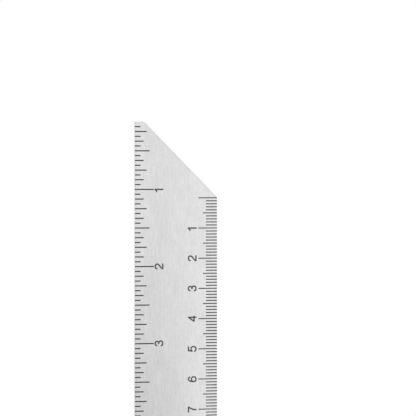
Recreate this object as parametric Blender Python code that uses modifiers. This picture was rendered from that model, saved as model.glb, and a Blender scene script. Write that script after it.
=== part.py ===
# Angle square: a graduated steel blade with a 45 degree end, riveted into an aluminium stock.
# It stands on its stock with the blade upright. X runs along the stock, from the heel to the toe,
# the graduated face looks along -Y, and Z runs up the blade.
# The origin is the centre of the stock's outer face, which is the face it stands on.

import math

import bmesh
import bpy
from mathutils import Matrix, Vector

MM = 0.001
INCH = 25.4 * MM

# Blade
BLADE_WIDTH = 28.0 * MM
BLADE_THICKNESS = 1.0 * MM
INNER_EDGE_LENGTH = 250.0 * MM  # from the stock up to the blunt corner of the angled end
END_ANGLE = math.radians(45.0)  # between the angled end and the blade's long edges
NOSE_CUT = 3.1 * MM  # the sharp point of the angled end is cut back by this much

# Stock
STOCK_LENGTH = 150.0 * MM
STOCK_HEIGHT = 27.0 * MM
STOCK_THICKNESS = 15.0 * MM
STOCK_EDGE_RADIUS = 1.5 * MM  # along the bar
STOCK_EDGE_SEGMENTS = 4
STOCK_END_CHAMFER = 0.4 * MM  # round both of its ends

# Rivets, countersunk on both sides, in a triangle on the part of the blade that the stock covers
RIVET_SHANK_DIAMETER = 4.0 * MM
RIVET_HEAD_DIAMETER = 7.0 * MM
RIVET_HEAD_DEPTH = 1.5 * MM
RIVET_SPREAD_X = 13.0 * MM
RIVET_SPREAD_Z = 11.0 * MM
ROUND_STEPS = 32

# Gaps between pieces that fit into each other
SLOT_CLEARANCE = 0.2 * MM
RIVET_CLEARANCE = 0.2 * MM
HEEL_CLEARANCE = 0.2 * MM  # from the surface it stands on up to the blade's lower end

# Graduations: shallow grooves in the front face that run out through the blade's long edges
GROOVE_DEPTH = 0.1 * MM
STOCK_MARGIN = 1.0 * MM  # the lowest groove's centre line is at least this far above the stock
NOSE_MARGIN = 0.5 * MM  # and the highest one's this far below the blade's tip
METRIC_STEP = 1.0 * MM
METRIC_LINE_WIDTH = 0.33 * MM
ZERO_LINE_SETBACK = 0.05 * MM  # from the blunt corner down to the upper edge of the zero line
CENTIMETRE_LENGTH = 6.35 * MM
HALF_CENTIMETRE_LENGTH = 4.8 * MM
MILLIMETRE_LENGTH = 3.8 * MM
INCH_STEP = INCH / 16
INCH_LINE_WIDTH = 0.38 * MM
WHOLE_INCH_LENGTH = 6.4 * MM
HALF_INCH_LENGTH = 4.95 * MM
QUARTER_INCH_LENGTH = 3.95 * MM
EIGHTH_INCH_LENGTH = 2.95 * MM
SIXTEENTH_INCH_LENGTH = 1.9 * MM

CUTTER_OVERRUN = 1.0 * MM  # how far a cutter reaches past the surface that it cuts
MERGE_DISTANCE = 0.01 * MM  # points closer than this become one
SHARP_ANGLE = math.radians(30.0)  # an edge that turns more than this is shaded sharp

# Places that follow from the sizes above
HEEL_X = -STOCK_LENGTH / 2
INNER_EDGE_X = HEEL_X + BLADE_WIDTH
BLUNT_CORNER_Z = STOCK_HEIGHT + INNER_EDGE_LENGTH
SHARP_POINT_Z = BLUNT_CORNER_Z + BLADE_WIDTH / math.tan(END_ANGLE)
NOSE_Z = SHARP_POINT_Z - NOSE_CUT
NOSE_X = HEEL_X + NOSE_CUT * math.tan(END_ANGLE)
FRONT_FACE_Y = -BLADE_THICKNESS / 2


def clear_scene():
    """Remove what a new file starts with."""
    for thing in list(bpy.data.objects):
        bpy.data.objects.remove(thing)


def new_collection(name):
    """A collection in the scene with this name."""
    collection = bpy.data.collections.new(name)
    bpy.context.scene.collection.children.link(collection)
    return collection


def metal(name, colour, roughness):
    """A plain metal material."""
    material = bpy.data.materials.new(name)
    material.use_nodes = True
    shader = material.node_tree.nodes["Principled BSDF"]
    shader.inputs["Base Color"].default_value = (*colour, 1.0)
    shader.inputs["Metallic"].default_value = 1.0
    shader.inputs["Roughness"].default_value = roughness
    return material


def mesh_object(name, bm, collection):
    """An object from a finished bmesh."""
    mesh = bpy.data.meshes.new(name)
    bm.to_mesh(mesh)
    bm.free()
    thing = bpy.data.objects.new(name, mesh)
    collection.objects.link(thing)
    return thing


def evaluated_mesh(thing):
    """A mesh of the shape that an object shows, with a curve's filling or its modifiers in it."""
    bpy.context.view_layer.update()
    evaluated = thing.evaluated_get(bpy.context.evaluated_depsgraph_get())
    mesh = bpy.data.meshes.new_from_object(evaluated)
    mesh.name = thing.name
    return mesh


def add_box(bm, low, high):
    """Add a box to a bmesh, given its lowest and highest corners."""
    low, high = Vector(low), Vector(high)
    place = Matrix.Translation((low + high) / 2) @ Matrix.Diagonal((*(high - low), 1.0))
    bmesh.ops.create_cube(bm, size=1.0, matrix=place)


def cut(thing, cutter):
    """Take the cutter's shape out of an object."""
    cutter.hide_render = True
    cutter.display_type = "WIRE"
    boolean = thing.modifiers.new("cut by " + cutter.name, "BOOLEAN")
    boolean.operation = "DIFFERENCE"
    boolean.solver = "EXACT"
    boolean.object = cutter


def flat_plate(name, outline, thickness, collection):
    """A plate in the XZ plane, centred on Y = 0, from the corners of its outline."""
    curve = bpy.data.curves.new(name + "_outline", "CURVE")
    curve.dimensions = "2D"
    curve.fill_mode = "BOTH"
    curve.extrude = thickness / 2
    spline = curve.splines.new("POLY")
    spline.points.add(len(outline) - 1)
    for point, (x, z) in zip(spline.points, outline):
        point.co = (x, z, 0.0, 1.0)
    spline.use_cyclic_u = True
    drawn = bpy.data.objects.new(name + "_outline", curve)
    drawn.rotation_euler.x = math.pi / 2
    collection.objects.link(drawn)
    bm = bmesh.new()
    bm.from_mesh(evaluated_mesh(drawn))
    bmesh.ops.remove_doubles(bm, verts=bm.verts, dist=MERGE_DISTANCE)
    plate = mesh_object(name, bm, collection)
    plate.matrix_world = drawn.matrix_world
    bpy.data.objects.remove(drawn)
    return plate


def turned_piece(name, profile, place, collection):
    """A piece turned about a line along Y, from (radius, height) points down its outer side."""
    bm = bmesh.new()
    points = [bm.verts.new((radius, 0.0, height)) for radius, height in profile]
    for first, second in zip(points, points[1:]):
        bm.edges.new((first, second))
    piece = mesh_object(name, bm, collection)
    piece.location = place
    piece.rotation_euler.x = math.pi / 2
    turning = piece.modifiers.new("turning", "SCREW")
    turning.axis = "Z"
    turning.angle = 2 * math.pi
    turning.steps = ROUND_STEPS
    turning.render_steps = ROUND_STEPS
    turning.use_merge_vertices = True
    turning.merge_threshold = MERGE_DISTANCE
    piece.data = evaluated_mesh(piece)
    piece.modifiers.clear()
    piece.data.shade_smooth()
    piece.data.set_sharp_from_angle(angle=SHARP_ANGLE)
    return piece


def rivet_places():
    """The three rivet axes, about the middle of the part of the blade that the stock covers."""
    middle_x = HEEL_X + BLADE_WIDTH / 2
    middle_z = STOCK_HEIGHT / 2
    half_x, half_z = RIVET_SPREAD_X / 2, RIVET_SPREAD_Z / 2
    return [
        Vector((middle_x - half_x, 0.0, middle_z - half_z)),
        Vector((middle_x + half_x, 0.0, middle_z - half_z)),
        Vector((middle_x, 0.0, middle_z + half_z)),
    ]


def rivet_side(grown=0.0):
    """(radius, height) points down the side of a rivet, or of its hole when grown by the gap."""
    face = STOCK_THICKNESS / 2
    neck = face - RIVET_HEAD_DEPTH
    head = RIVET_HEAD_DIAMETER / 2 + grown
    shank = RIVET_SHANK_DIAMETER / 2 + grown
    return [(head, face), (shank, neck), (shank, -neck), (head, -face)]


def make_rivets(parts, steel):
    """The rivets, their heads flush with both sides of the stock."""
    side = rivet_side()
    profile = [(0.0, side[0][1]), *side, (0.0, side[-1][1])]
    for number, place in enumerate(rivet_places(), start=1):
        rivet = turned_piece(f"rivet_{number}", profile, place, parts)
        rivet.data.materials.append(steel)


def rivet_hole_cutters(cutters):
    """Cutters for the rivets' holes, which go through the stock and the blade alike."""
    side = rivet_side(RIVET_CLEARANCE)
    end = side[0][1] + CUTTER_OVERRUN
    profile = [(0.0, end), (side[0][0], end), *side, (side[-1][0], -end), (0.0, -end)]
    return [
        turned_piece(f"rivet_hole_cutter_{number}", profile, place, cutters)
        for number, place in enumerate(rivet_places(), start=1)
    ]


def metric_lines():
    """(height, length) of each millimetre line, counted down from the blunt corner."""
    zero = BLUNT_CORNER_Z - ZERO_LINE_SETBACK - METRIC_LINE_WIDTH / 2
    lines = []
    count = 0
    while zero - count * METRIC_STEP > STOCK_HEIGHT + STOCK_MARGIN:
        if count % 10 == 0:
            length = CENTIMETRE_LENGTH
        elif count % 5 == 0:
            length = HALF_CENTIMETRE_LENGTH
        else:
            length = MILLIMETRE_LENGTH
        lines.append((zero - count * METRIC_STEP, length))
        count += 1
    return lines


def inch_lines():
    """(height, length) of each sixteenth of an inch, counted down from the uncut sharp point."""
    lines = []
    count = 1
    while SHARP_POINT_Z - count * INCH_STEP > STOCK_HEIGHT + STOCK_MARGIN:
        height = SHARP_POINT_Z - count * INCH_STEP
        if count % 16 == 0:
            length = WHOLE_INCH_LENGTH
        elif count % 8 == 0:
            length = HALF_INCH_LENGTH
        elif count % 4 == 0:
            length = QUARTER_INCH_LENGTH
        elif count % 2 == 0:
            length = EIGHTH_INCH_LENGTH
        else:
            length = SIXTEENTH_INCH_LENGTH
        if height < NOSE_Z - NOSE_MARGIN:
            lines.append((height, length))
        count += 1
    return lines


def graduation_cutter(cutters):
    """The grooves of both scales as one set of separate boxes."""
    bm = bmesh.new()
    outside = FRONT_FACE_Y - CUTTER_OVERRUN
    groove_floor = FRONT_FACE_Y + GROOVE_DEPTH
    for height, length in metric_lines():
        low = (INNER_EDGE_X - length, outside, height - METRIC_LINE_WIDTH / 2)
        high = (INNER_EDGE_X + CUTTER_OVERRUN, groove_floor, height + METRIC_LINE_WIDTH / 2)
        add_box(bm, low, high)
    for height, length in inch_lines():
        low = (HEEL_X - CUTTER_OVERRUN, outside, height - INCH_LINE_WIDTH / 2)
        high = (HEEL_X + length, groove_floor, height + INCH_LINE_WIDTH / 2)
        add_box(bm, low, high)
    return mesh_object("graduation_cutter", bm, cutters)


def make_blade(parts, cutters, rivet_holes, steel):
    """The strip with its angled end, the rivets' holes and the two engraved scales."""
    outline = [
        (HEEL_X, HEEL_CLEARANCE),
        (INNER_EDGE_X, HEEL_CLEARANCE),
        (INNER_EDGE_X, BLUNT_CORNER_Z),
        (NOSE_X, NOSE_Z),
        (HEEL_X, NOSE_Z),
    ]
    blade = flat_plate("blade", outline, BLADE_THICKNESS, parts)
    blade.data.materials.append(steel)
    for hole in rivet_holes:
        cut(blade, hole)
    cut(blade, graduation_cutter(cutters))


def make_stock(parts, cutters, rivet_holes, aluminium):
    """The bar, rounded along its length, slotted at its heel for the blade and drilled."""
    half_x, half_y = STOCK_LENGTH / 2, STOCK_THICKNESS / 2
    bm = bmesh.new()
    add_box(bm, (-half_x, -half_y, 0.0), (half_x, half_y, STOCK_HEIGHT))
    # the edges along the bar are those that cross the plane X = 0
    along = [edge for edge in bm.edges if edge.verts[0].co.x * edge.verts[1].co.x < 0.0]
    bmesh.ops.bevel(
        bm,
        geom=along,
        offset=STOCK_EDGE_RADIUS,
        segments=STOCK_EDGE_SEGMENTS,
        profile=0.5,
        affect="EDGES",
    )
    stock = mesh_object("stock", bm, parts)
    stock.data.materials.append(aluminium)
    chamfer = stock.modifiers.new("chamfered ends", "BEVEL")
    chamfer.width = STOCK_END_CHAMFER
    chamfer.segments = 1
    chamfer.limit_method = "ANGLE"

    bm = bmesh.new()
    half_slot = BLADE_THICKNESS / 2 + SLOT_CLEARANCE
    low = (HEEL_X - CUTTER_OVERRUN, -half_slot, -CUTTER_OVERRUN)
    high = (INNER_EDGE_X + SLOT_CLEARANCE, half_slot, STOCK_HEIGHT + CUTTER_OVERRUN)
    add_box(bm, low, high)
    cut(stock, mesh_object("slot_cutter", bm, cutters))
    for hole in rivet_holes:
        cut(stock, hole)


def main():
    """Build the square: blade, stock and three rivets."""
    clear_scene()
    parts = new_collection("angle_square")
    cutters = new_collection("cutters")
    blade_steel = metal("brushed stainless steel", (0.70, 0.70, 0.695), 0.38)
    stock_aluminium = metal("satin aluminium", (0.62, 0.63, 0.64), 0.45)
    rivet_steel = metal("ground rivet steel", (0.50, 0.50, 0.50), 0.35)
    rivet_holes = rivet_hole_cutters(cutters)
    make_blade(parts, cutters, rivet_holes, blade_steel)
    make_stock(parts, cutters, rivet_holes, stock_aluminium)
    make_rivets(parts, rivet_steel)


main()
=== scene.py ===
import math

import bmesh
import bpy
from mathutils import Matrix, Vector


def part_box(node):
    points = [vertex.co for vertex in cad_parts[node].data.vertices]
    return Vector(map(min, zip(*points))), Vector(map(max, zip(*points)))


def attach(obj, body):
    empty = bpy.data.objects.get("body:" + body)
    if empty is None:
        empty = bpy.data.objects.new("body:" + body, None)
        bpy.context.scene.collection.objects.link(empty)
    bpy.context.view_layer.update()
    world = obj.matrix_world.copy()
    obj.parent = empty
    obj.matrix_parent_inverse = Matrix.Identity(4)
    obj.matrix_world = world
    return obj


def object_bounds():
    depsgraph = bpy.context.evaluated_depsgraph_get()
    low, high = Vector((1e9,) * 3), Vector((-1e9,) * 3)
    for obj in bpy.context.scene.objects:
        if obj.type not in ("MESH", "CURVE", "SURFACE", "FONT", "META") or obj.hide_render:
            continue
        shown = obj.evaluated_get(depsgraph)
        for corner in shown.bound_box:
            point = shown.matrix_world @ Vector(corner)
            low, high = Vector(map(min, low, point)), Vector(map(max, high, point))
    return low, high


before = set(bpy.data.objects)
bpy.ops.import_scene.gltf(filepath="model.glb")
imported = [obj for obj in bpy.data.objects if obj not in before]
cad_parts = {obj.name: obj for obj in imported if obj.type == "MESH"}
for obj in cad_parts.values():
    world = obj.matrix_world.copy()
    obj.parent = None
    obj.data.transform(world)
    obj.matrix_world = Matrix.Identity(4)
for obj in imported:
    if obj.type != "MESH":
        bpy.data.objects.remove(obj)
cadLow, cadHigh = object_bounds()  # the solid model's own box
print("angle square: solid model loaded,", len(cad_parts), "pieces")

mm = 0.001
inch = 25.4 * mm
noiseDetail = 2.0
noiseRoughness = 0.6  # how strong each finer layer of the noise is


class Wire:  # a node's output socket: a sum written with it adds its Math nodes
    def __init__(self, tree, socket=None):
        self.tree = tree
        self.socket = socket

    def node(self, kind, settings, values, output=0):
        made = self.tree.nodes.new(kind)
        for name, value in settings.items():
            setattr(made, name, value)
        for name, value in values.items():
            if isinstance(value, Wire):
                self.tree.links.new(value.socket, made.inputs[name])
            else:
                made.inputs[name].default_value = value
        return Wire(self.tree, made.outputs[output] if made.outputs else None)

    def maths(self, operation, first, second):
        return self.node("ShaderNodeMath", {"operation": operation}, {0: first, 1: second})

    def __add__(self, other):
        return self.maths("ADD", self, other)

    __radd__ = __add__

    def __sub__(self, other):
        return self.maths("SUBTRACT", self, other)

    def __rsub__(self, other):
        return self.maths("SUBTRACT", other, self)

    def __mul__(self, other):
        return self.maths("MULTIPLY", self, other)

    __rmul__ = __mul__


def blankMaterial(name):
    material = bpy.data.materials.new(name)
    material.use_nodes = True
    material.node_tree.nodes.clear()
    return material, Wire(material.node_tree)


def grain(wire, where, size, detail=noiseDetail):
    # noise from -0.5 to 0.5 whose blots have about this size along X, Y and Z
    scaled = wire.node("ShaderNodeMapping", {}, {
        "Vector": where, "Scale": tuple(1.0 / length for length in size)})
    noise = wire.node("ShaderNodeTexNoise", {}, {
        "Vector": scaled, "Scale": 1.0, "Detail": detail, "Roughness": noiseRoughness}, "Fac")
    return noise - 0.5


def ramp(wire, value, start, end):
    # rises smoothly from 0 at the start to 1 at the end
    return wire.node("ShaderNodeMapRange", {"interpolation_type": "SMOOTHSTEP"}, {
        "Value": value, "From Min": start, "From Max": end})


def tinted(wire, colour, tone):
    # the colour, made lighter or darker by a factor about 1
    return wire.node("ShaderNodeVectorMath", {"operation": "SCALE"}, {0: colour, "Scale": tone})


def surface(wire, colour, roughness, height, bumpDepth, **constants):
    bump = wire.node("ShaderNodeBump", {}, {"Height": height, "Distance": bumpDepth, "Strength": 1.0})
    shader = wire.node("ShaderNodeBsdfPrincipled", {}, {
        "Base Color": colour, "Roughness": roughness, "Normal": bump, **constants})
    wire.node("ShaderNodeOutputMaterial", {}, {"Surface": shader})


def meshFrom(name, bm):
    mesh = bpy.data.meshes.new(name)
    bm.to_mesh(mesh)
    bm.free()
    return mesh


def addThing(name, data):
    # a mesh, curve, lamp or camera as an object in the scene
    thing = bpy.data.objects.new(name, data)
    bpy.context.scene.collection.objects.link(thing)
    return thing


# Blade

bladeShape = {
    "noseCut": 3.1 * mm,  # taken off the sharp point of the 45 degree end
    "grooveDepth": 0.10 * mm,
}
bladeLow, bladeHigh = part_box("blade")
sharpPoint = bladeHigh.z + bladeShape["noseCut"]
bluntCorner = sharpPoint - (bladeHigh.x - bladeLow.x)

bladeFinish = {
    "colour": (0.727, 0.727, 0.725),
    "roughness": 0.36,
    "waver": 0.45 * mm,  # how far the brush marks wander sideways
    "waverSize": (9.0 * mm, 9.0 * mm, 22.0 * mm),
    "marks": {  # width, length up the blade and contrast of each kind of brush mark
        "grit": (0.28 * mm, 0.34 * mm, 0.22),
        "flecks": (0.32 * mm, 1.2 * mm, 0.18),
        "hairs": (0.24 * mm, 4.5 * mm, 0.22),
        "strands": (0.50 * mm, 11.0 * mm, 0.15),
        "blots": (2.4 * mm, 5.5 * mm, 0.12),
    },
    "strandRoughness": 0.12,
    "clouds": (10.0 * mm, 10.0 * mm, 24.0 * mm),
    "cloudTone": 0.07,
    "cloudRoughness": 0.06,
    "paintedShadeAcross": (22.0 * mm, 6.0 * mm),  # painted shade from the outer edge: none, and all of it
    "paintedShadeDown": (30.0 * mm, 110.0 * mm),  # the same below the tip
    # how much darker the painted shade makes the steel
    "paintedShadeTone": 0.15,
    # painted sheen: lighter towards the inner edge, from no change to all of it
    "paintedSheenAcross": (13.0 * mm, 25.0 * mm),
    "paintedSheenTone": 0.055,
    "paintedShadePatch": (6.5 * mm, 49.3 * mm),  # the middle of a soft patch of painted shade, from the outer edge and below the tip
    "paintedShadePatchReach": (8.0 * mm, 27.0 * mm),
    "paintedShadePatchTone": 0.05,
    "edgeShadeWidth": 0.9 * mm,  # painted shade: the blade is painted a little darker this near to its edges
    "edgeShadeTone": 0.07,
    "bumpDepth": 0.004 * mm,
}


def fromEdges(wire, where):
    # how far a point lies from the blade's outer edge, below its tip, and inside the nearest edge
    across = wire.node("ShaderNodeSeparateXYZ", {}, {0: where}, "X") - bladeLow.x
    down = bladeHigh.z - wire.node("ShaderNodeSeparateXYZ", {}, {0: where}, "Z")
    slant = (down + bladeShape["noseCut"] - across) * math.sqrt(0.5)  # square to the 45 degree end
    sides = wire.maths("MINIMUM", across, bladeHigh.x - bladeLow.x - across)
    return across, down, wire.maths("MINIMUM", sides, slant)


def paintedShadeAndSheen(wire, where):
    # painted shade and highlight over the blade: darker down its outer side, lighter at its inner edge
    look = bladeFinish
    across, down, inside = fromEdges(wire, where)
    # painted shade down the outer side, growing down the blade
    paintedShade = ramp(wire, across, *look["paintedShadeAcross"]) * ramp(wire, down, *look["paintedShadeDown"])
    # painted sheen towards the inner edge
    paintedSheen = ramp(wire, across, *look["paintedSheenAcross"])
    # a soft oval of painted shade
    fromPaintedShadePatch = wire.node("ShaderNodeCombineXYZ", {}, {
        "X": (across - look["paintedShadePatch"][0]) * (1.0 / look["paintedShadePatchReach"][0]),
        "Y": (down - look["paintedShadePatch"][1]) * (1.0 / look["paintedShadePatchReach"][1])})
    away = wire.node("ShaderNodeVectorMath", {"operation": "LENGTH"}, {0: fromPaintedShadePatch}, "Value")
    paintedShadePatch = ramp(wire, away, 1.0, 0.0)
    # painted shade along the blade's edges
    edge = ramp(wire, inside, look["edgeShadeWidth"], 0.0)
    return (paintedSheen * look["paintedSheenTone"] - paintedShade * look["paintedShadeTone"] - paintedShadePatch * look["paintedShadePatchTone"]
            - edge * look["edgeShadeTone"])


def brushedSteel():
    look = bladeFinish
    material, wire = blankMaterial("brushed stainless steel")
    where = wire.node("ShaderNodeTexCoord", {}, {}, "Object")
    sway = grain(wire, where, look["waverSize"], 1.0) * look["waver"]
    sideways = wire.node("ShaderNodeCombineXYZ", {}, {"X": sway})
    brushed = wire.node("ShaderNodeVectorMath", {"operation": "ADD"}, {0: where, 1: sideways})
    clouds = grain(wire, where, look["clouds"], 1.0)
    # painted shade and sheen, plus random clouds of tone
    tone = 1.0 + paintedShadeAndSheen(wire, where) + clouds * look["cloudTone"]
    marks = {}
    for name, (width, length, contrast) in look["marks"].items():
        marks[name] = grain(wire, brushed, (width, width, length))
        tone = tone + marks[name] * contrast
    roughness = (look["roughness"] + marks["strands"] * look["strandRoughness"]
                 + clouds * look["cloudRoughness"])
    surface(wire, tinted(wire, look["colour"], tone), roughness, marks["hairs"] + marks["strands"],
            look["bumpDepth"], Metallic=1.0)
    return material


# Stock

stockFinish = {
    "colour": (0.62, 0.63, 0.64),
    "roughness": 0.45,
    "hairs": (5.0 * mm, 0.16 * mm, 0.16 * mm),  # brushed along its length
    "hairTone": 0.18,
    "strands": (24.0 * mm, 0.45 * mm, 0.45 * mm),
    "strandTone": 0.11,
    "strandRoughness": 0.10,
    "pits": (0.09 * mm, 0.09 * mm, 0.09 * mm),
    "pitDepth": 0.6,  # as a share of the hairs' depth
    "clouds": (30.0 * mm, 12.0 * mm, 12.0 * mm),
    "cloudTone": 0.07,
    "cloudRoughness": 0.06,
    "bumpDepth": 0.005 * mm,
}


def satinAluminium():
    look = stockFinish
    material, wire = blankMaterial("satin aluminium")
    where = wire.node("ShaderNodeTexCoord", {}, {}, "Object")
    hairs = grain(wire, where, look["hairs"], 3.0)
    strands = grain(wire, where, look["strands"])
    pits = grain(wire, where, look["pits"])
    clouds = grain(wire, where, look["clouds"], 1.0)
    tone = 1.0 + hairs * look["hairTone"] + strands * look["strandTone"] + clouds * look["cloudTone"]
    roughness = look["roughness"] + strands * look["strandRoughness"] + clouds * look["cloudRoughness"]
    surface(wire, tinted(wire, look["colour"], tone), roughness, hairs + pits * look["pitDepth"],
            look["bumpDepth"], Metallic=1.0)
    return material


# Rivets

rivetFinish = {
    "colour": (0.52, 0.515, 0.505),
    "roughness": 0.34,
    "grinding": (2.5 * mm, 0.12 * mm, 0.12 * mm),  # ground off flush together with the stock's faces
    "grindingTone": 0.34,
    "grindingRoughness": 0.14,
    "clouds": (3.0 * mm, 3.0 * mm, 3.0 * mm),
    "cloudTone": 0.20,
    "bumpDepth": 0.004 * mm,
}


def groundSteel():
    look = rivetFinish
    material, wire = blankMaterial("ground rivet steel")
    where = wire.node("ShaderNodeTexCoord", {}, {}, "Object")
    grinding = grain(wire, where, look["grinding"], 3.0)
    clouds = grain(wire, where, look["clouds"], 1.0)
    tone = 1.0 + grinding * look["grindingTone"] + clouds * look["cloudTone"]
    roughness = look["roughness"] + grinding * look["grindingRoughness"]
    surface(wire, tinted(wire, look["colour"], tone), roughness, grinding,
            look["bumpDepth"], Metallic=1.0)
    return material


# Ink

inkFinish = {
    "colour": (0.024, 0.024, 0.025),
    "roughness": 0.55,
    "specular": 0.25,
    "specks": (0.08 * mm, 0.08 * mm, 0.08 * mm),
    "speckTone": 0.5,
    "speckRoughness": 0.2,
    "wear": (1.4 * mm, 1.4 * mm, 1.4 * mm),
    "wearTone": 0.8,
    "bumpDepth": 0.003 * mm,
}
paintFinish = {**inkFinish, "colour": (0.085, 0.085, 0.087)}  # the painted figures are a little greyer


def scaleInk(name, look):
    material, wire = blankMaterial(name)
    where = wire.node("ShaderNodeTexCoord", {}, {}, "Object")
    specks = grain(wire, where, look["specks"], 3.0)
    wear = grain(wire, where, look["wear"])
    tone = 1.0 + specks * look["speckTone"] + wear * look["wearTone"]
    roughness = look["roughness"] + specks * look["speckRoughness"]
    surface(wire, tinted(wire, look["colour"], tone), roughness, specks, look["bumpDepth"],
            **{"Specular IOR Level": look["specular"]})
    return material


def setFinish(node, material):
    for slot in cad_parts[node].material_slots:
        slot.material = material


lineInk = scaleInk("black scale ink", inkFinish)
figurePaint = scaleInk("dark grey figure paint", paintFinish)
setFinish("blade", brushedSteel())
setFinish("stock", satinAluminium())
rivetSteel = groundSteel()
for rivet in ("rivet_1", "rivet_2", "rivet_3"):
    setFinish(rivet, rivetSteel)
print("angle square: finishes set")


def inkPiece(name, bm, ink):
    # the shapes in the bmesh become one piece that stays with the blade
    mesh = meshFrom(name, bm)
    mesh.materials.append(ink)
    piece = addThing(name, mesh)
    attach(piece, "root")


# Scales: where the grooves in the blade are, and the ink that fills them

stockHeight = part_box("stock")[1].z

metricScale = {
    "step": 1.0 * mm,
    "lineWidth": 0.33 * mm,
    "zeroSetback": 0.05 * mm,  # from the blunt corner to the upper edge of the zero line
    "lengths": {10: 6.35 * mm, 5: 4.8 * mm, 1: 3.8 * mm},  # by how many steps a line stands for
    "stepsPerFigure": 10,
    "figureFoot": 7.00 * mm,  # from the inner edge
}
inchScale = {
    "step": inch / 16,
    "lineWidth": 0.38 * mm,
    "lengths": {16: 6.4 * mm, 8: 4.95 * mm, 4: 3.95 * mm, 2: 2.95 * mm, 1: 1.9 * mm},
    "stepsPerFigure": 16,
    "figureFoot": 9.65 * mm,  # from the outer edge
}
scaleLimits = {  # the lines keep this far from the stock and from the tip
    "aboveStock": 1.0 * mm,
    "belowTip": 0.5 * mm,
}
inkFill = {
    "sunk": 0.015 * mm,  # the ink's face lies this far below the steel's
    "bite": 0.02 * mm,  # and its hidden sides reach this far into the steel
    "edgeInset": 0.01 * mm,  # its open end stays this far inside the blade's edge
}


def lineLength(lengths, count):
    return next(length for steps, length in sorted(lengths.items(), reverse=True) if count % steps == 0)


def scaleLines(scale, zero, first):
    # (count, height, length) of each line from the tip down to the stock
    lines = []
    count = first
    while zero - count * scale["step"] > stockHeight + scaleLimits["aboveStock"]:
        height = zero - count * scale["step"]
        if height < bladeHigh.z - scaleLimits["belowTip"]:
            lines.append((count, height, lineLength(scale["lengths"], count)))
        count += 1
    return lines


def fillGrooves(name, lines, lineWidth, edge, inward):
    # inward is 1 where the lines run from the edge towards +X, and -1 where they run towards -X
    front = bladeLow.y + inkFill["sunk"]
    back = bladeLow.y + bladeShape["grooveDepth"] + inkFill["bite"]
    tall = lineWidth + 2 * inkFill["bite"]
    start = edge + inward * inkFill["edgeInset"]
    bm = bmesh.new()
    for _, height, length in lines:
        end = edge + inward * (length + inkFill["bite"])
        middle = Vector(((start + end) / 2, (front + back) / 2, height))
        size = (abs(end - start), back - front, tall, 1.0)
        bmesh.ops.create_cube(bm, size=1.0, matrix=Matrix.Translation(middle) @ Matrix.Diagonal(size))
    inkPiece(name, bm, lineInk)


metricZero = bluntCorner - metricScale["zeroSetback"] - metricScale["lineWidth"] / 2
metricLines = scaleLines(metricScale, metricZero, 0)
inchLines = scaleLines(inchScale, sharpPoint, 1)  # the sharp point is cut off, and the zero with it
fillGrooves("metric_scale_ink", metricLines, metricScale["lineWidth"], bladeHigh.x, -1)
fillGrooves("inch_scale_ink", inchLines, inchScale["lineWidth"], bladeLow.x, 1)
print("angle square: ink in", len(metricLines), "metric and", len(inchLines), "inch lines")

# Figures: each digit is drawn with a flat pen, in mm from the middle of its foot

figureLook = {
    "height": 3.0,
    "pen": 0.48,
    "paint": 0.05,  # thickness of the paint, most of it in the steel
    "proud": 0.01,
    "pitch": 2.3,  # from one digit to the next in a number of two
    "steps": 6,  # of a bent stroke between two of its points
    "weld": 0.01,  # corners closer than this become one
}
digitStrokes = {  # a line is straight, a bend is smooth, and a ring is a bend that closes
    "0": [("ring", [(0, 2.78), (0.54, 2.47), (0.78, 1.5), (0.54, 0.53),
                    (0, 0.22), (-0.54, 0.53), (-0.78, 1.5), (-0.54, 2.47)])],
    "1": [("line", [(0, 0), (0, 3.0)]),
          ("bend", [(-0.92, 2.2), (-0.42, 2.38), (-0.08, 2.86)])],
    "2": [("bend", [(-0.76, 2.05), (-0.58, 2.58), (0, 2.78), (0.56, 2.6), (0.76, 2.12),
                    (0.52, 1.58), (-0.05, 1.1), (-0.55, 0.66), (-0.76, 0.2)]),
          ("line", [(-0.98, 0.22), (0.98, 0.22)])],
    "3": [("bend", [(-0.75, 2.12), (-0.54, 2.6), (0, 2.78), (0.52, 2.6), (0.69, 2.18),
                    (0.46, 1.74), (0, 1.6), (-0.24, 1.6)]),
          ("bend", [(-0.2, 1.59), (0, 1.59), (0.55, 1.41), (0.78, 0.9), (0.54, 0.38), (0, 0.22),
                    (-0.56, 0.4), (-0.78, 0.92)])],
    "4": [("line", [(0.48, 0), (0.48, 3.0)]),
          ("line", [(0.48, 2.78), (-0.8, 0.87)]),
          ("line", [(-0.98, 0.87), (1.0, 0.87)])],
    "5": [("line", [(-0.6, 2.78), (0.86, 2.78)]),
          ("line", [(-0.5, 2.98), (-0.72, 1.36)]),
          ("bend", [(-0.66, 1.52), (-0.35, 1.8), (0.08, 1.9), (0.6, 1.66), (0.78, 1.04),
                    (0.56, 0.42), (0, 0.22), (-0.56, 0.4), (-0.78, 0.86)])],
    "6": [("ring", [(0, 1.76), (0.56, 1.56), (0.78, 0.98), (0.56, 0.41),
                    (0, 0.22), (-0.56, 0.41), (-0.78, 0.98), (-0.56, 1.56)]),
          ("bend", [(0.73, 2.2), (0.5, 2.64), (0.05, 2.78), (-0.5, 2.46), (-0.76, 1.74),
                    (-0.78, 0.98)])],
    "7": [("line", [(-0.98, 2.78), (0.98, 2.78)]),
          ("bend", [(0.8, 2.74), (0.34, 2.0), (-0.02, 1.0), (-0.16, 0)])],
    "8": [("ring", [(0, 2.78), (0.48, 2.63), (0.67, 2.2), (0.48, 1.77),
                    (0, 1.62), (-0.48, 1.77), (-0.67, 2.2), (-0.48, 2.63)]),
          ("ring", [(0, 1.62), (0.56, 1.43), (0.78, 0.92), (0.56, 0.41),
                    (0, 0.22), (-0.56, 0.41), (-0.78, 0.92), (-0.56, 1.43)])],
}
digitStrokes["9"] = [(kind, [(-x, figureLook["height"] - y) for x, y in points])
                     for kind, points in digitStrokes["6"]]  # a 6 turned round


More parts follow.
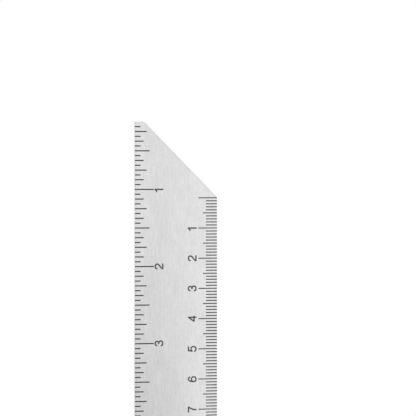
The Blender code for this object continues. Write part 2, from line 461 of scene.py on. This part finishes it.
def penTip():
    wide, deep = figureLook["pen"] / 2, figureLook["paint"] / 2
    corners = [(-wide, -deep), (wide, -deep), (wide, deep), (-wide, deep)]
    curve = bpy.data.curves.new("pen tip", "CURVE")
    spline = curve.splines.new("POLY")
    spline.points.add(len(corners) - 1)
    for point, (x, y) in zip(spline.points, corners):
        point.co = (x, y, 0.0, 1.0)
    spline.use_cyclic_u = True
    return addThing("pen tip", curve)


def settledMesh(thing):
    # a curve or a mesh with all that its settings and modifiers do to it
    bpy.context.view_layer.update()
    return bpy.data.meshes.new_from_object(thing.evaluated_get(bpy.context.evaluated_depsgraph_get()))


def drawStroke(tip, kind, points):
    curve = bpy.data.curves.new("stroke", "CURVE")
    curve.dimensions = "3D"
    curve.twist_mode = "Z_UP"
    curve.bevel_mode = "OBJECT"
    curve.bevel_object = tip
    curve.use_fill_caps = True
    curve.resolution_u = figureLook["steps"]
    spline = curve.splines.new("BEZIER")
    spline.use_smooth = False
    spline.bezier_points.add(len(points) - 1)
    for point, (x, y) in zip(spline.bezier_points, points):
        point.co = (x, y, 0.0)
        point.handle_left_type = point.handle_right_type = "VECTOR" if kind == "line" else "AUTO"
    spline.use_cyclic_u = kind == "ring"
    drawn = addThing("stroke", curve)
    bm = bmesh.new()
    bm.from_mesh(settledMesh(drawn))
    bpy.data.objects.remove(drawn)
    bmesh.ops.remove_doubles(bm, verts=bm.verts, dist=figureLook["weld"])
    bmesh.ops.recalc_face_normals(bm, faces=bm.faces)
    return addThing("stroke", meshFrom("stroke", bm))


def drawDigit(tip, strokes):
    # the strokes are joined and cut through, and the outline of the cut is filled and made thick
    drawn = [drawStroke(tip, kind, points) for kind, points in strokes]
    for other in drawn[1:]:
        joined = drawn[0].modifiers.new("joined", "BOOLEAN")
        joined.operation = "UNION"
        joined.solver = "EXACT"
        joined.object = other
    bm = bmesh.new()
    bm.from_mesh(settledMesh(drawn[0]))
    for stroke in drawn:
        bpy.data.objects.remove(stroke)
    bmesh.ops.bisect_plane(bm, geom=[*bm.verts, *bm.edges, *bm.faces], plane_co=(0, 0, 0),
                           plane_no=(0, 0, 1), clear_inner=True, clear_outer=True)
    bmesh.ops.remove_doubles(bm, verts=bm.verts, dist=figureLook["weld"])
    bmesh.ops.triangle_fill(bm, edges=bm.edges, normal=(0, 0, 1), use_beauty=True)
    bmesh.ops.recalc_face_normals(bm, faces=bm.faces)
    flat = addThing("digit", meshFrom("digit", bm))
    thick = flat.modifiers.new("thick", "SOLIDIFY")
    thick.thickness = figureLook["paint"]
    thick.offset = 0.0  # half of it on each side
    digit = settledMesh(flat)
    bpy.data.objects.remove(flat)
    return digit


def paintFigures(name, lines, stepsPerFigure, footX):
    # the figures lie on their side: they read up the blade and their heads point to its outer edge
    upTheBlade = Matrix(((0, -1, 0, 0), (0, 0, -1, 0), (1, 0, 0, 0), (0, 0, 0, 1))) @ Matrix.Scale(mm, 4)
    middleY = bladeLow.y + (figureLook["paint"] / 2 - figureLook["proud"]) * mm
    bm = bmesh.new()
    for count, height, _ in lines:
        if count == 0 or count % stepsPerFigure:
            continue
        text = str(count // stepsPerFigure)
        for number, digit in enumerate(text):
            along = (number - (len(text) - 1) / 2) * figureLook["pitch"] * mm
            place = Matrix.Translation((footX, middleY, height + along)) @ upTheBlade
            before = len(bm.verts)
            bm.from_mesh(digits[digit])
            bmesh.ops.transform(bm, matrix=place, verts=bm.verts[before:])
            bm.verts.ensure_lookup_table()
    inkPiece(name, bm, figurePaint)


pen = penTip()
digits = {digit: drawDigit(pen, strokes) for digit, strokes in digitStrokes.items()}
bpy.data.objects.remove(pen)
paintFigures("metric_figures", metricLines, metricScale["stepsPerFigure"],
             bladeHigh.x - metricScale["figureFoot"])
paintFigures("inch_figures", inchLines, inchScale["stepsPerFigure"], bladeLow.x + inchScale["figureFoot"])
print("angle square: figures painted")

# Floor, white surroundings and lamps

studio = {
    "floorRadius": 1.9,
    "floorSides": 96,
    "floorSolid": 0.8,  # out to here the floor is solid, and from here it fades into the white
    "floorGone": 0.98,  # and it is gone at this share of its radius
    "floorColour": (0.90, 0.90, 0.90),
    "floorRoughness": 0.9,
    "floorSpecular": 0.1,
    "floorLift": 0.20,  # share of plain white that the eye sees in it
    "white": (1.0, 1.0, 1.0, 1.0),
    "fill": 0.80,  # strength of the surroundings' light on matt surfaces
}
lamps = {
    "key": {"place": (1.4, -1.9, 2.4), "size": 2.0, "power": 14.0},
    "side": {"place": (-2.3, -0.8, 1.3), "size": 1.6, "power": 7.0},
    "rear": {"place": (-0.5, 2.1, 2.2), "size": 2.0, "power": 8.0},
}


def seenDirectly(wire):
    # 1 for rays from the camera, off shiny surfaces and through clear ones, 0 for light on matt surfaces
    camera = wire.node("ShaderNodeLightPath", {}, {}, "Is Camera Ray")
    glossy = wire.node("ShaderNodeLightPath", {}, {}, "Is Glossy Ray")
    through = wire.node("ShaderNodeLightPath", {}, {}, "Is Transmission Ray")
    return wire.node("ShaderNodeMath", {"operation": "ADD", "use_clamp": True}, {
        0: camera + glossy, 1: through})


def paleFloor():
    # a matt disc that fades into the white surroundings
    material, wire = blankMaterial("pale floor")
    where = wire.node("ShaderNodeTexCoord", {}, {}, "Object")
    away = wire.node("ShaderNodeVectorMath", {"operation": "LENGTH"}, {0: where}, "Value")
    fade = ramp(wire, away, studio["floorSolid"], studio["floorRadius"] * studio["floorGone"])
    matt = wire.node("ShaderNodeBsdfPrincipled", {}, {
        "Base Color": (*studio["floorColour"], 1.0), "Roughness": studio["floorRoughness"],
        "Specular IOR Level": studio["floorSpecular"]})
    white = wire.node("ShaderNodeEmission", {}, {"Color": studio["white"], "Strength": 1.0})
    lift = seenDirectly(wire) * studio["floorLift"]
    pale = wire.node("ShaderNodeMixShader", {}, {0: lift, 1: matt, 2: white})
    clear = wire.node("ShaderNodeBsdfTransparent", {}, {})
    mixed = wire.node("ShaderNodeMixShader", {}, {0: fade, 1: pale, 2: clear})
    wire.node("ShaderNodeOutputMaterial", {}, {"Surface": mixed})
    return material


def layFloor():
    bm = bmesh.new()
    bmesh.ops.create_circle(bm, cap_ends=True, segments=studio["floorSides"], radius=studio["floorRadius"])
    mesh = meshFrom("floor", bm)
    mesh.materials.append(paleFloor())
    floor = addThing("floor", mesh)


def lightWorld():
    # white to the camera and in reflections, softer as light on matt surfaces
    world = bpy.data.worlds.new("white surroundings")
    world.use_nodes = True
    world.node_tree.nodes.clear()
    bpy.context.scene.world = world
    wire = Wire(world.node_tree)
    strength = studio["fill"] + seenDirectly(wire) * (1.0 - studio["fill"])
    light = wire.node("ShaderNodeBackground", {}, {"Color": studio["white"], "Strength": strength})
    wire.node("ShaderNodeOutputWorld", {}, {"Surface": light})


def hangLamps():
    middle = (cadLow + cadHigh) / 2
    for name, lamp in lamps.items():
        light = bpy.data.lights.new(name + " softbox", "AREA")
        light.shape = "SQUARE"
        light.size = lamp["size"]
        light.energy = lamp["power"]
        softbox = addThing(name + " softbox", light)
        softbox.location = lamp["place"]
        softbox.rotation_euler = (middle - Vector(lamp["place"])).to_track_quat("-Z", "Y").to_euler()
        softbox.visible_camera = False


layFloor()
lightWorld()
hangLamps()
print("angle square: floor, surroundings and lamps in place")

# Camera: a long lens, close to square on, with only the blade's free end in view

viewpoint = {
    "azimuth": -15.5,
    "elevation": 0.80,
    "distance": 1.0,
    "frameWidth": 137.71 * mm,  # what the picture spans at that distance
    "fromOuterEdge": 24.92 * mm,  # the point aimed at, on the blade's face
    "belowTip": 28.50 * mm,
    "clip": (0.01, 20.0),  # the nearest and the furthest that it sees
}


def placeCamera():
    look = viewpoint
    turn, rise = math.radians(look["azimuth"]), math.radians(look["elevation"])
    aim = Vector((bladeLow.x + look["fromOuterEdge"], bladeLow.y, bladeHigh.z - look["belowTip"]))
    back = Vector((math.sin(turn) * math.cos(rise), -math.cos(turn) * math.cos(rise), math.sin(rise)))
    data = bpy.data.cameras.new("camera")
    data.lens = data.sensor_width * look["distance"] / look["frameWidth"]
    data.clip_start, data.clip_end = look["clip"]
    camera = addThing("camera", data)
    camera.location = aim + back * look["distance"]
    camera.rotation_euler = (-back).to_track_quat("-Z", "Y").to_euler()
    bpy.context.scene.camera = camera


placeCamera()
bpy.context.scene.view_settings.view_transform = "Standard"
